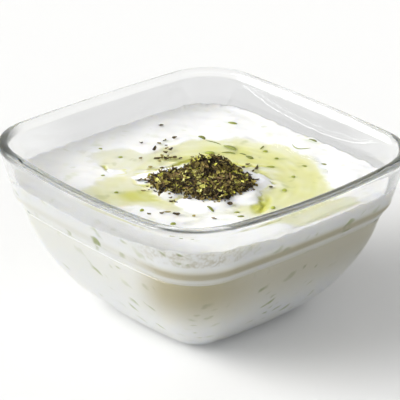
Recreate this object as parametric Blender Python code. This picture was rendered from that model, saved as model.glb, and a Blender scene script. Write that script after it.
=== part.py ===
"""Tzatziki dip in a square pressed-glass bowl, with a heap of dried herbs on top.

Three solids: the glass bowl, the dip that fills it to the middle of its collar,
and the heap of herbs that rests on the dip. Metres, +Z up. The origin is the
middle of the bowl's flat underside, and the bowl's sides lie along X and Y.
"""
import math

import bmesh
import bpy
from mathutils import noise, Vector

# Bowl: half widths from the middle to the middle of a side
HEIGHT = 0.065
RIM_HALF = 0.060
COLLAR_FOOT_HALF = 0.0560     # where the collar ends and rounds in
CREASE_HALF = 0.0523          # groove between collar and body
LEDGE_HALF = 0.0531           # hollow underside of the collar
LEDGE_Z = 0.0412
FOOT_HALF = 0.0267            # flat underside
COLLAR_FOOT_Z = 0.0462
CREASE_Z = 0.0386
GLASS = 0.0034                # wall thickness of collar and body
BEAD_Z = HEIGHT - GLASS / 2.0         # middle of the rounded rim
FLOOR_GLASS = 0.0050
COLLAR_ROUND = 0.0026         # radius under the collar
BODY_FLARE = 1.53             # how quickly the body draws in towards the foot
BODY_SINK = 1.38              # how quickly it drops

# Plan shape: sides bowed a little outward, corners rounded
FOOT_CORNER = 0.0085
RIM_CORNER = 0.0225
FOOT_BOW = 0.090              # radius of a side at the foot
RIM_BOW = 0.700               # and at the rim
SIDE_STEPS = 4
CORNER_STEPS = 7

# Dip
DIP_EDGE_Z = 0.0522           # where the dip meets the glass
DIP_Z = 0.0515                # its level away from the glass
GAP = 0.0003                  # clearance between touching solids
DIP_RINGS = 15
MOUND_RISE = 0.0013
MOUND_CENTRE = (0.0010, -0.0055)      # (across, along) the bowl's diagonals
MOUND_FLAT = (0.0205, 0.0180)
MOUND_SKIRT = 1.38            # the mound's outer edge, as a multiple of its flat
EDGE_CLIMB = 0.0035           # width of the band that climbs to the glass

# Spoon hollows and swells of the surface: across, along, reach, reach, height
SWELLS = (
    (-0.031, 0.016, 0.011, 0.008, -0.0009),
    (-0.026, -0.013, 0.011, 0.011, -0.0009),
    (0.004, 0.023, 0.018, 0.007, -0.0010),
    (0.036, -0.002, 0.010, 0.020, -0.0012),
    (0.010, -0.036, 0.016, 0.005, -0.0006),
    (-0.036, -0.001, 0.009, 0.004, 0.0006),
    (0.041, 0.024, 0.009, 0.006, 0.0006),
    (-0.004, 0.042, 0.020, 0.006, 0.0005),
)

# Heap of dried herbs
HEAP_CENTRE = (0.0005, -0.0060)
HEAP_HALF = (0.0185, 0.0155)  # across and along the diagonals
HEAP_HEIGHT = 0.0060
HEAP_EDGE = 0.0007            # thickness where the heap thins out
HEAP_SECTORS = 36
HEAP_RINGS = 7
HEAP_SEED = 7.3


def clear_scene():
    for obj in list(bpy.data.objects):
        bpy.data.objects.remove(obj, do_unlink=True)


def material(name, colour, roughness, alpha=1.0):
    """A Principled material of one colour."""
    mat = bpy.data.materials.new(name)
    mat.use_nodes = True
    shader = mat.node_tree.nodes["Principled BSDF"]
    shader.inputs["Base Color"].default_value = (*colour, 1.0)
    shader.inputs["Roughness"].default_value = roughness
    shader.inputs["Metallic"].default_value = 0.0
    shader.inputs["Alpha"].default_value = alpha
    return mat


def smoothstep(low, high, value):
    t = min(max((value - low) / (high - low), 0.0), 1.0)
    return t * t * (3.0 - 2.0 * t)


def corner_of(half):
    """Corner radius of the outside at a given half width."""
    share = (half - FOOT_HALF) / (RIM_HALF - FOOT_HALF)
    return FOOT_CORNER + (RIM_CORNER - FOOT_CORNER) * share


def bow_of(half):
    """Radius that the outside's sides are bowed to at a given half width."""
    share = (half - FOOT_HALF) / (RIM_HALF - FOOT_HALF)
    return FOOT_BOW + (RIM_BOW - FOOT_BOW) * share


def plan_loop(half, corner, bow):
    """Bowed square with round corners: four side arcs joined by four tangent corner arcs."""
    side_centre = bow - half
    reach = bow - corner
    corner_centre = (math.sqrt(2.0 * reach ** 2 - side_centre ** 2) - side_centre) / 2.0
    turn = math.atan2(corner_centre, corner_centre + side_centre)
    quarter = []
    for i in range(SIDE_STEPS):
        a = -turn + 2.0 * turn * i / SIDE_STEPS
        quarter.append((bow * math.cos(a) - side_centre, bow * math.sin(a)))
    for i in range(CORNER_STEPS):
        a = turn + (math.pi / 2.0 - 2.0 * turn) * i / CORNER_STEPS
        quarter.append((corner_centre + corner * math.cos(a), corner_centre + corner * math.sin(a)))
    loop = []
    for k in range(4):
        c = round(math.cos(k * math.pi / 2.0))
        s = round(math.sin(k * math.pi / 2.0))
        loop.extend((x * c - y * s, x * s + y * c) for x, y in quarter)
    return loop


def inset_loop(half, inset):
    """Plan of the outside at a half width, moved inward by an even distance."""
    return plan_loop(half - inset, corner_of(half) - inset, bow_of(half) - inset)


def body_station(t):
    """Half width and height on the body's outside, from the crease (t=0) to the foot (t=1)."""
    a = t * math.pi / 2.0
    half = FOOT_HALF + (CREASE_HALF - FOOT_HALF) * max(math.cos(a), 0.0) ** BODY_FLARE
    return half, CREASE_Z * (1.0 - math.sin(a) ** BODY_SINK)


def collar_half(z):
    """Half width of the collar's outside at a height."""
    return COLLAR_FOOT_HALF + (RIM_HALF - COLLAR_FOOT_HALF) * (z - COLLAR_FOOT_Z) / (BEAD_Z - COLLAR_FOOT_Z)


def inner_stations(top_z, steps=8):
    """Half width of the outside, inset and height for each loop of the inner wall, top to floor."""
    stations = [(collar_half(top_z), GLASS, top_z)]
    low_z = COLLAR_FOOT_Z + 0.0015
    if top_z > low_z + 0.001:
        stations.append((collar_half(low_z), GLASS, low_z))
    stations.append((CREASE_HALF + 0.0008, GLASS, CREASE_Z + 0.0012))
    for i in range(1, steps):
        half, z = body_station(i / steps)
        if z > FLOOR_GLASS + 0.0025:
            stations.append((half, GLASS, z + 0.0006))
    half = body_station(0.80)[0]
    stations.append((half - 0.0010, GLASS, FLOOR_GLASS + 0.0009))
    stations.append((half - 0.0030, GLASS, FLOOR_GLASS))
    return stations


def solid_from_loops(name, loops, mat):
    """Closed solid from a stack of equal loops of points, listed outside first and going inward."""
    bm = bmesh.new()
    rings = [[bm.verts.new(p) for p in loop] for loop in loops]
    for low, high in zip(rings, rings[1:]):
        count = len(low)
        for i in range(count):
            j = (i + 1) % count
            bm.faces.new((low[i], low[j], high[j], high[i]))
    for ring in (rings[0], rings[-1]):
        middle = bm.verts.new(sum((v.co for v in ring), Vector()) / len(ring))
        for i in range(len(ring)):
            bm.faces.new((ring[i], ring[(i + 1) % len(ring)], middle))
    bmesh.ops.triangulate(bm, faces=bm.faces[:])
    bmesh.ops.recalc_face_normals(bm, faces=bm.faces[:])
    mesh = bpy.data.meshes.new(name)
    bm.to_mesh(mesh)
    bm.free()
    mesh.materials.append(mat)
    obj = bpy.data.objects.new(name, mesh)
    bpy.context.scene.collection.objects.link(obj)
    mesh.shade_smooth()
    mesh.set_sharp_from_angle(angle=math.radians(40.0))
    return obj


def at_height(loop, z):
    return [(x, y, z) for x, y in loop]


def glass_dish():
    """Bowl: flat foot, drawn-in body, groove, overhanging collar, rounded rim, and the inner wall."""
    loops = [at_height(inset_loop(FOOT_HALF, 0.010), 0.0)]
    body_steps = 9
    for i in range(body_steps, -1, -1):
        half, z = body_station(i / body_steps)
        loops.append(at_height(inset_loop(half, 0.0), z))
    loops.append(at_height(inset_loop(LEDGE_HALF, 0.0), LEDGE_Z))
    for degrees in (-62.0, -30.0, 0.0):
        a = math.radians(degrees)
        half = COLLAR_FOOT_HALF - COLLAR_ROUND * (1.0 - math.cos(a))
        loops.append(at_height(inset_loop(half, 0.0), COLLAR_FOOT_Z + COLLAR_ROUND * math.sin(a)))
    bead = GLASS / 2.0
    for degrees in range(0, 180, 30):
        a = math.radians(degrees)
        inset = bead * (1.0 - math.cos(a))
        loops.append(at_height(inset_loop(RIM_HALF, inset), BEAD_Z + bead * math.sin(a)))
    for half, inset, z in inner_stations(BEAD_Z):
        loops.append(at_height(inset_loop(half, inset), z))
    mat = material("clear_pressed_glass", (0.86, 0.90, 0.87), 0.03, alpha=0.35)
    return solid_from_loops("glass_dish", loops, mat)


def mound_share(across, along):
    """1 on the flat top of the mound that carries the herbs, falling to 0 at its skirt."""
    d = math.hypot((across - MOUND_CENTRE[0]) / MOUND_FLAT[0], (along - MOUND_CENTRE[1]) / MOUND_FLAT[1])
    return 1.0 - smoothstep(1.0, MOUND_SKIRT, d)


def dip_height(x, y):
    """Height of the dip's surface away from the glass."""
    across = (x + y) / math.sqrt(2.0)
    along = (y - x) / math.sqrt(2.0)
    mound = mound_share(across, along)
    swell = 0.0
    for su, sv, ru, rv, rise in SWELLS:
        swell += rise * math.exp(-((across - su) / ru) ** 2 - ((along - sv) / rv) ** 2)
    return DIP_Z + MOUND_RISE * mound + swell * (1.0 - mound)


def tzatziki():
    """Dip: follows the inner wall at a small clearance, up to a softly swirled surface."""
    stations = inner_stations(DIP_EDGE_Z)
    loops = []
    for half, inset, z in reversed(stations):
        loops.append(at_height(inset_loop(half, inset + GAP), z + (GAP if z < DIP_EDGE_Z else 0.0)))
    top_half, top_inset, _ = stations[0]
    edge = inset_loop(top_half, top_inset + GAP)
    reach = top_half - top_inset - GAP
    for ring in range(1, DIP_RINGS):
        # the first ring marks the climb to the glass, the others share the rest evenly
        scale = (1.0 - EDGE_CLIMB / reach) * (DIP_RINGS - ring) / (DIP_RINGS - 1)
        loops.append([(x * scale, y * scale, dip_height(x * scale, y * scale)) for x, y in edge])
    mat = material("tzatziki_dip", (0.93, 0.94, 0.90), 0.35)
    return solid_from_loops("tzatziki", loops, mat)


def herb_heap():
    """Heap of dried herbs: a low uneven mound with a ragged outline and a flat underside."""
    floor_z = DIP_Z + MOUND_RISE + GAP

    def point(angle, share, z_share):
        ragged = 1.0 + 0.07 * noise.noise(Vector((1.7 * math.cos(angle), 1.7 * math.sin(angle), HEAP_SEED)))
        ragged -= 0.05 * (1.0 + math.cos(5.0 * angle + 0.8)) / 2.0
        across = HEAP_CENTRE[0] + HEAP_HALF[0] * share * ragged * math.cos(angle)
        along = HEAP_CENTRE[1] + HEAP_HALF[1] * share * ragged * math.sin(angle)
        lump = noise.noise(Vector((across * 170.0, along * 170.0, HEAP_SEED)))
        rise = (1.0 - share ** 2) ** 0.9 * (1.0 + 0.22 * lump)
        z = floor_z + z_share * (HEAP_EDGE + (HEAP_HEIGHT - HEAP_EDGE) * rise)
        return ((across - along) / math.sqrt(2.0), (across + along) / math.sqrt(2.0), z)

    angles = [2.0 * math.pi * i / HEAP_SECTORS for i in range(HEAP_SECTORS)]
    loops = [[point(a, 0.94, 0.0) for a in angles]]
    for ring in range(HEAP_RINGS):
        share = 1.0 - ring / HEAP_RINGS
        loops.append([point(a, share, 1.0) for a in angles])
    mat = material("dried_herbs", (0.13, 0.12, 0.05), 0.8)
    return solid_from_loops("herb_heap", loops, mat)


clear_scene()
glass_dish()
tzatziki()
herb_heap()
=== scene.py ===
"""Looks of a tzatziki dip in its square pressed-glass bowl: glass, dip, oil and herbs.

Metres, +Z up. The bowl stands on its foot with its sides along X and Y.
"""
import math

import bpy
import numpy as np
from mathutils import Matrix, Vector


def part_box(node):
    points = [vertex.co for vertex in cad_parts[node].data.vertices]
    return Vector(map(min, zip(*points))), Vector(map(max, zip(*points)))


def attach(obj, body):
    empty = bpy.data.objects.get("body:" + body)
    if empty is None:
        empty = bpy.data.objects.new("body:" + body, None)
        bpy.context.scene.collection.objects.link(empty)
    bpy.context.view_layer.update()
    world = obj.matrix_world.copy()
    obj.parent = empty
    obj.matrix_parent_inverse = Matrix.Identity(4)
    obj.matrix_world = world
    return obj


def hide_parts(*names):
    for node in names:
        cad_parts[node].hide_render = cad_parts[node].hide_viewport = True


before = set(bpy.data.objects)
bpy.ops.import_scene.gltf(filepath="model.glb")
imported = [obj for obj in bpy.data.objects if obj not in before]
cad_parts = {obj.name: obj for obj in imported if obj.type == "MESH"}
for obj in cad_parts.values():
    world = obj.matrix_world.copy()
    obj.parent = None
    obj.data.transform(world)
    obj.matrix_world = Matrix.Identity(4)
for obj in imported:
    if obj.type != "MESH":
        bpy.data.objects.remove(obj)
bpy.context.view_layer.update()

# ---------------- studio
# A small product set: a white table top without an edge in sight, one large soft window
# from the left and a white room round it.
bowl_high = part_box("glass_dish")[1]
RIM_HALF = bowl_high.x
RIM_Z = bowl_high.z

CAMERA_BEARING = math.radians(47.74)
CAMERA_RISE = math.radians(24.94)
CAMERA_ROLL = math.radians(0.53)
CAMERA_RANGE = 15.09 * RIM_HALF
CAMERA_AIM = Vector((-0.0005, -0.0005, 0.646 * RIM_Z))
CAMERA_LENS = 223.5
CAMERA_SENSOR = 36.0


def piece(name, points, faces, smooth=False):
    """A new object in the scene from rows of points and its faces."""
    mesh = bpy.data.meshes.new(name)
    mesh.from_pydata(np.array(points, float).tolist(), [], faces)
    if smooth:
        mesh.shade_smooth()
    made = bpy.data.objects.new(name, mesh)
    bpy.context.scene.collection.objects.link(made)
    return made


def finish(name, **values):
    """A new finish and its surface with plain values. The makers of nodes add to the newest."""
    global nodes, links, place
    made = bpy.data.materials.new(name)
    made.use_nodes = True
    nodes, links = made.node_tree.nodes, made.node_tree.links
    place = nodes.new("ShaderNodeTexCoord")
    surface = nodes["Principled BSDF"]
    for socket, value in values.items():
        surface.inputs[socket.replace("_", " ")].default_value = value
    return made, surface


TABLE_HALF = 4.0
TABLE_Z = -0.0002
TABLE_CORNERS = ((-1, -1), (1, -1), (1, 1), (-1, 1))
table_top = piece(
    "table_top", [(sx * TABLE_HALF, sy * TABLE_HALF, TABLE_Z) for sx, sy in TABLE_CORNERS], [(0, 1, 2, 3)])
white_laminate = finish(
    "white_laminate", Base_Color=(0.80, 0.80, 0.805, 1.0), Roughness=0.9, Specular_IOR_Level=0.1)[0]
table_top.data.materials.append(white_laminate)

towards_camera = Vector((
    math.sin(CAMERA_BEARING) * math.cos(CAMERA_RISE),
    -math.cos(CAMERA_BEARING) * math.cos(CAMERA_RISE),
    math.sin(CAMERA_RISE)))
camera = bpy.data.objects.new("camera", bpy.data.cameras.new("camera"))
bpy.context.scene.collection.objects.link(camera)
camera.data.lens = CAMERA_LENS
camera.data.sensor_width = CAMERA_SENSOR
camera.data.clip_start = 0.01
camera.data.clip_end = 30.0
camera.location = CAMERA_AIM + towards_camera * CAMERA_RANGE
level_view = towards_camera.to_track_quat("Z", "Y").to_matrix().to_4x4()
camera.rotation_euler = (level_view @ Matrix.Rotation(CAMERA_ROLL, 4, "Z")).to_euler()
bpy.context.scene.camera = camera

# the room: white walls, a warmer one on the near right, a dimmer ceiling and one wide soft
# window low on the near left
ROOM_BEHIND = 0.72
ROOM_NEAR_RIGHT = 1.38
ROOM_LEAN = Vector((-0.50, 0.40, 0.77))
ROOM_TURN = (-0.55, 0.35)     # cosines between which the near right's light turns into the other
WINDOW_FROM = Vector((-0.66, -0.84, 0.37))
WINDOW_BRIGHT = 11.0
WINDOW_SILL = (0.13, 0.30)    # it stands clear of the table, so its foot fades over these heights
CEILING = (0.45, 0.90)        # the ceiling is dimmer than the walls between these heights
CEILING_DIM = 0.64
HORIZON = (0.0, 0.16)         # the table's white carries on up the wall and fades over these heights
HORIZON_LIFT = 1.42
WINDOW_EDGE = 0.80            # cosine of the angle at which the window has faded to nothing
WARM_WALL = (1.0, 0.95, 0.82, 1.0)
COOL_WALL = (0.970, 0.985, 1.0, 1.0)
room = bpy.data.worlds.new("room")
bpy.context.scene.world = room
room.use_nodes = True
nodes, links = room.node_tree.nodes, room.node_tree.links
look = nodes.new("ShaderNodeTexCoord")


def added(kind, sockets, **settings):
    """A shader node with its settings. Its sockets get plain values, or links from other sockets."""
    node = nodes.new("ShaderNode" + kind)
    for name, value in settings.items():
        setattr(node, name, value)
    for name, value in sockets.items():
        if isinstance(value, bpy.types.NodeSocket):
            links.new(value, node.inputs[name])
        else:
            node.inputs[name].default_value = value
    return node


def ranged(value, low, high, to_low=0.0, to_high=1.0):
    """The value eased from one range into another."""
    limits = {"From Min": low, "From Max": high, "To Min": to_low, "To Max": to_high}
    return added("MapRange", {"Value": value, **limits}, interpolation_type="SMOOTHSTEP").outputs["Result"]


def combined(operation, first, second):
    return added("Math", {0: first, 1: second}, operation=operation).outputs["Value"]


def glow(towards, low, high, dim, bright):
    """Strength of the room's light, from dim to bright as the look turns towards a direction."""
    sockets = {0: look.outputs["Generated"], 1: towards.normalized()}
    lean = added("VectorMath", sockets, operation="DOT_PRODUCT")
    return ranged(lean.outputs["Value"], low, high, dim, bright)


UP = Vector((0.0, 0.0, 1.0))
room_side = glow(ROOM_LEAN, *ROOM_TURN, ROOM_NEAR_RIGHT, ROOM_BEHIND)
room_light = combined("MULTIPLY", room_side, glow(UP, *CEILING, 1.0, CEILING_DIM))
room_light = combined("MULTIPLY", room_light, glow(UP, *HORIZON, HORIZON_LIFT, 1.0))
window = combined(
    "MULTIPLY", glow(WINDOW_FROM, WINDOW_EDGE, 1.0, 0.0, WINDOW_BRIGHT), glow(UP, *WINDOW_SILL, 0.0, 1.0))
room_light = combined("ADD", room_light, window)
room_colour = added("Mix", {"Factor": room_side, "A": WARM_WALL, "B": COOL_WALL}, data_type="RGBA")
links.new(room_colour.outputs["Result"], nodes["Background"].inputs["Color"])
links.new(room_light, nodes["Background"].inputs["Strength"])
bpy.context.scene.view_settings.view_transform = "Standard"
# light passes many walls of glass and oil before it leaves the bowl again
LIGHT_PASSES = 24
bpy.context.scene.cycles.max_bounces = LIGHT_PASSES
bpy.context.scene.cycles.diffuse_bounces = LIGHT_PASSES // 2
bpy.context.scene.cycles.glossy_bounces = LIGHT_PASSES
bpy.context.scene.cycles.transmission_bounces = LIGHT_PASSES

# ---------------- glass bowl
# Machine-pressed soda-lime glass: flat foot, drawn-in body, a groove under an overhanging
# collar for stacking, and a rim melted round by flame. Pressing leaves faint waves in it.
GLASS = 0.0034
FLOOR_GLASS = 0.0050
FOOT_HALF = 0.445 * RIM_HALF
CREASE_HALF, CREASE_Z = 0.0523, 0.0386
LEDGE_HALF, LEDGE_Z = 0.0537, 0.0412
COLLAR_FOOT_HALF, COLLAR_FOOT_Z = 0.0560, 0.0462
COLLAR_ROUND = 0.0038
BEAD_Z = RIM_Z - GLASS / 2.0
BEAD = 0.0019                 # radius of the flame-rounded rim, a little thicker than the wall
BEAD_WRAP = 20                # degrees it wraps round under its middle on either side
BEAD_BLEND = 0.0008           # the straight collar stops this far under it
BODY_FLARE = 1.53
BODY_SINK = 1.38
FOOT_CORNER, RIM_CORNER = 0.0085, 0.0225
FOOT_BOW, RIM_BOW = 0.090, 0.700
FOOT_RECESS = 0.0005
SHOULDER = 0.0002             # how far the body stands out under the groove
GROOVE_START = 0.06           # share of the way down the body at which the groove's round begins


def plan(half, inset, side_steps=28, corner_steps=40):
    """Bowed square with round corners: the outside at a half width, moved in by inset. Rows of x, y."""
    share = (half - FOOT_HALF) / (RIM_HALF - FOOT_HALF)
    corner = FOOT_CORNER + (RIM_CORNER - FOOT_CORNER) * share - inset
    bow = FOOT_BOW + (RIM_BOW - FOOT_BOW) * share - inset
    side_centre = bow - (half - inset)
    reach = bow - corner
    corner_centre = (math.sqrt(2.0 * reach ** 2 - side_centre ** 2) - side_centre) / 2.0
    turn = math.atan2(corner_centre, corner_centre + side_centre)
    a = np.linspace(-turn, turn, side_steps, endpoint=False)
    b = np.linspace(turn, math.pi / 2.0 - turn, corner_steps, endpoint=False)
    x = np.concatenate([bow * np.cos(a) - side_centre, corner_centre + corner * np.cos(b)])
    y = np.concatenate([bow * np.sin(a), corner_centre + corner * np.sin(b)])
    return np.concatenate([np.stack(p, 1) for p in ((x, y), (-y, x), (-x, -y), (y, -x))])


def at_height(loop, z):
    return np.column_stack([loop, np.broadcast_to(z, len(loop))])


def body_station(t):
    """Half width and height of the body's outside, from the crease (t=0) to the foot (t=1)."""
    a = t * math.pi / 2.0
    half = FOOT_HALF + (CREASE_HALF - FOOT_HALF) * max(math.cos(a), 0.0) ** BODY_FLARE
    return half, CREASE_Z * (1.0 - math.sin(a) ** BODY_SINK)


def collar_half(z):
    return COLLAR_FOOT_HALF + (RIM_HALF - COLLAR_FOOT_HALF) * (z - COLLAR_FOOT_Z) / (BEAD_Z - COLLAR_FOOT_Z)


def smooth_run(points, steps):
    """Catmull-Rom curve through rows of numbers, steps points for each span, last row included."""
    p = np.array(points, float)
    p = np.vstack([2.0 * p[0] - p[1], p, 2.0 * p[-1] - p[-2]])
    rows = []
    for i in range(1, len(p) - 2):
        for t in np.linspace(0.0, 1.0, steps, endpoint=False):
            rows.append(0.5 * (2.0 * p[i] + (p[i + 1] - p[i - 1]) * t
                               + (2.0 * p[i - 1] - 5.0 * p[i] + 4.0 * p[i + 1] - p[i + 2]) * t ** 2
                               + (3.0 * p[i] - p[i - 1] - 3.0 * p[i + 1] + p[i + 2]) * t ** 3))
    rows.append(p[-2])
    return rows


def inner_wall(top_z):
    """Outside half width, inset and height of each loop of the inner wall, from top_z to the floor."""
    low_z = COLLAR_FOOT_Z + 0.0015
    stations = [(collar_half(z), GLASS, z) for z in np.linspace(top_z, low_z, 16)]
    run = [stations[-1], (CREASE_HALF + 0.0008, GLASS, CREASE_Z + 0.0012)]
    for t in np.linspace(0.125, 0.75, 6):
        half, z = body_station(t)
        run.append((half, GLASS, z + 0.0006))
    half = body_station(0.80)[0]
    run.append((half - 0.0010, GLASS, FLOOR_GLASS + 0.0009))
    run.append((half - 0.0030, GLASS, FLOOR_GLASS))
    return stations[:-1] + [tuple(r) for r in smooth_run(run, 7)]


def solid(name, loops):
    """Closed mesh from a stack of equal loops, the first and last closed by a fan."""
    loops = np.array(loops)
    rows, count = loops.shape[:2]
    here = np.arange(count)
    after = np.roll(here, -1)
    strip = np.column_stack([here, after, count + after, count + here])
    strips = [r * count + strip for r in range(rows - 1)]
    points = np.vstack([loops.reshape(-1, 3), loops[0].mean(0), loops[-1].mean(0)])
    first = rows * count
    top = (rows - 1) * count
    fans = [(after[i], here[i], first) for i in range(count)]
    fans += [(top + here[i], top + after[i], first + 1) for i in range(count)]
    return piece(name, points, np.vstack(strips).tolist() + fans, smooth=True)


foot = ((0.0080, 1.0), (0.0074, 0.85), (0.0067, 0.25), (0.0060, 0.0), (0.0030, 0.0))
outside = [(FOOT_HALF, inset, FOOT_RECESS * share) for inset, share in foot]
for t in np.linspace(1.0, GROOVE_START, 52):
    half, z = body_station(t)
    outside.append((half, 0.0, z))
ledge = [body_station(GROOVE_START)]
for share, rise in ((0.8, -0.0006), (1.0, 0.0), (0.5, 0.0005), (0.0, 0.0010)):
    ledge.append((CREASE_HALF + SHOULDER * share, CREASE_Z + rise))
ledge.append((LEDGE_HALF, LEDGE_Z))
for degrees in (-62.0, -40.0, -20.0, 0.0):
    a = math.radians(degrees)
    half = COLLAR_FOOT_HALF - COLLAR_ROUND * (1.0 - math.cos(a))
    ledge.append((half, COLLAR_FOOT_Z + COLLAR_ROUND * math.sin(a)))
outside += [(half, 0.0, z) for half, z in smooth_run(ledge, 5)[1:]]
collar_top_z = RIM_Z - BEAD * (1.0 + math.sin(math.radians(BEAD_WRAP))) - BEAD_BLEND
outside += [(collar_half(z), 0.0, z) for z in np.linspace(COLLAR_FOOT_Z, collar_top_z, 11)[1:]]
for degrees in range(-BEAD_WRAP, 181 + BEAD_WRAP, 8):
    a = math.radians(degrees)
    outside.append((RIM_HALF, BEAD * (1.0 - math.cos(a)), RIM_Z - BEAD + BEAD * math.sin(a)))
stations = outside + inner_wall(collar_top_z)
glass_loops = [at_height(plan(half, inset), z) for half, inset, z in stations]
# the rim slumped a little in the flame: along each side it bows out and hangs lower than at the corners
RIM_SLUMP_OUT, RIM_SLUMP_DOWN = 0.0013, 0.0008
RIM_SLUMP_RUN = (0.0510, 0.0130)    # the wall follows it from this height, more and more over this rise
for loop in glass_loops:
    near, far = np.sort(np.abs(loop[:, :2]), axis=1).T
    slump = np.clip(1.0 - (1.30 * near / far) ** 2, 0.0, 1.0)
    slump = slump * np.clip((loop[0, 2] - RIM_SLUMP_RUN[0]) / RIM_SLUMP_RUN[1], 0.0, 1.0) ** 1.5
    wider = 1.0 + RIM_SLUMP_OUT * slump[:, None] / far[:, None]
    loop[:, :2] *= np.where(np.abs(loop[:, :2]) == far[:, None], wider, 1.0)
    loop[:, 2] -= RIM_SLUMP_DOWN * slump
bowl = solid("pressed_glass_bowl", glass_loops)


def grain(scale, detail):
    """Soft random pattern fixed to the piece: waves in glass, curds in yoghurt, mottle on a leaf."""
    return added("TexNoise", {"Scale": scale, "Detail": detail, "Vector": place.outputs["Object"]})


def bumpy(surface, strength, depth, pattern):
    """Raise the surface by a pattern."""
    bump = added("Bump", {"Strength": strength, "Distance": depth, "Height": pattern.outputs["Fac"]})
    links.new(bump.outputs["Normal"], surface.inputs["Normal"])


def absorbing(colour, density):
    """Tint what light passes through by how far it goes."""
    depth_tint = added("VolumeAbsorption", {"Color": (*colour, 1.0), "Density": density})
    links.new(depth_tint.outputs["Volume"], nodes["Material Output"].inputs["Volume"])


def keep_tint(obj, name, values):
    """Keep a tint for each point of a piece, and 0 for the points after the last value."""
    every = np.zeros(len(obj.data.vertices), np.float32)
    every[:len(values)] = values
    obj.data.attributes.new(name, "FLOAT", "POINT").data.foreach_set("value", every)


def kept(name):
    return added("Attribute", {}, attribute_name=name).outputs["Fac"]


def tinted(base, colour, amount, blend="MIX"):
    """The base colour blended with another by an amount."""
    sockets = {"A": base, "B": (*colour, 1.0), "Factor": amount}
    return added("Mix", sockets, data_type="RGBA", blend_type=blend).outputs["Result"]


GLASS_GREY = (0.750, 0.772, 0.765)
GLASS_DEPTH = 48.0            # how fast the grey deepens with the thickness of the glass
clear_glass, pane = finish(
    "clear_pressed_glass", Base_Color=(1.0, 1.0, 1.0, 1.0), Roughness=0.015, IOR=1.5,
    Transmission_Weight=1.0)
absorbing(GLASS_GREY, GLASS_DEPTH)
bumpy(pane, 0.10, 0.0004, grain(130.0, 1.0))
bowl.data.materials.append(clear_glass)
WALL_SHADE_TOP_Z = 0.0551          # painted shade: a grey band on the inner wall from the dip up to here, for the bowl's shadow seen through the glass
WALL_SHADE_FOOT_Z = 0.0496
REAR_WALL_SHADE = 0.80              # and a weaker painted shade over all of the far corner's two walls
REAR_HEADING = math.radians(135.0)
WALL_SHADE_FADE = 0.0010            # the painted shade's upper and lower edges fade over this height
WALL_SHADE_GREY = (0.56, 0.56, 0.575)
wall = np.array(glass_loops).reshape(-1, 3)
heading = np.arctan2(wall[:, 1], wall[:, 0])
wander = 0.0003 * np.sin(5.0 * heading + 1.0) + 0.0002 * np.sin(13.0 * heading)
wander += 0.0001 * np.sin(31.0 * heading)
height = (wall[:, 2] - WALL_SHADE_TOP_Z - wander) / WALL_SHADE_FADE
painted_wall_shade = np.clip(0.5 - height, 0.0, 1.0)
painted_wall_shade *= np.clip((wall[:, 2] - WALL_SHADE_FOOT_Z) / WALL_SHADE_FADE, 0.0, 1.0)
painted_wall_shade *= 0.62 + 0.38 * np.cos(heading - math.pi / 2.0)
painted_wall_shade = np.maximum(painted_wall_shade, REAR_WALL_SHADE * np.clip(2.0 * np.cos(heading - REAR_HEADING), 0.0, 1.0))
painted_wall_shade[:len(outside) * len(glass_loops[0])] = 0.0
keep_tint(bowl, "painted_wall_shade", painted_wall_shade)
# painted shade: the glass's colour is greyed in the band and on the far walls
shaded_glass_colour = tinted((1.0, 1.0, 1.0, 1.0), WALL_SHADE_GREY, kept("painted_wall_shade"))
# painted shade: a dark grey-green line on the rim's two near sides, along the outer shoulder of the
# bead, and all through it at the left corner, for the dark surroundings seen refracted in the rounded glass
RIM_LINE = (38.0, 15.0)       # where on the bead's round the line runs and half its width, in degrees
# headings round the rim and how strong the line is there
RIM_PAINTED_SHADE = (
    (-150.0, 0.0), (-143.0, 0.95), (-120.0, 0.99), (-105.0, 0.97), (-85.0, 0.96), (-60.0, 0.97),
    (-45.0, 0.95), (-32.0, 0.86), (-24.0, 0.80), (-17.0, 0.50), (-11.0, 0.0), (180.0, 0.0))
LEFT_CORNER = (-131.0, 12.0)  # heading of the darkest corner and how far it spreads, in degrees
LEFT_CORNER_SHADE = 0.99
RIM_SHADE_GREEN = (0.022, 0.028, 0.022)
bead_rows = np.array([[inset, z] for half, inset, z in outside if half == RIM_HALF])
bead_turn = np.degrees(np.arctan2(bead_rows[:, 1] - (RIM_Z - BEAD), BEAD - bead_rows[:, 0]))
bead_turn = np.where(bead_turn < -90.0, bead_turn + 360.0, bead_turn)
first_row = len(outside) - len(bead_rows)
rim_loop = wall.reshape(len(glass_loops), -1, 3)[first_row]
rim_heading = np.degrees(np.arctan2(rim_loop[:, 1], rim_loop[:, 0]))
strength = np.interp(rim_heading, [h for h, _ in RIM_PAINTED_SHADE], [d for _, d in RIM_PAINTED_SHADE])
line = np.exp(-((bead_turn[:, None] - RIM_LINE[0]) / RIM_LINE[1]) ** 4) * strength
corner_shade = LEFT_CORNER_SHADE * np.exp(-((rim_heading - LEFT_CORNER[0]) / LEFT_CORNER[1]) ** 4)
rim_painted_shade = np.zeros((len(glass_loops), rim_loop.shape[0]))
rim_painted_shade[first_row:len(outside)] = np.maximum(line, corner_shade)
keep_tint(bowl, "rim_painted_shade", rim_painted_shade.ravel())
# painted shade: the dark rim line is blended into the glass's colour
links.new(tinted(shaded_glass_colour, RIM_SHADE_GREEN, kept("rim_painted_shade")), pane.inputs["Base Color"])
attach(bowl, "root")
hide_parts("glass_dish")

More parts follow.
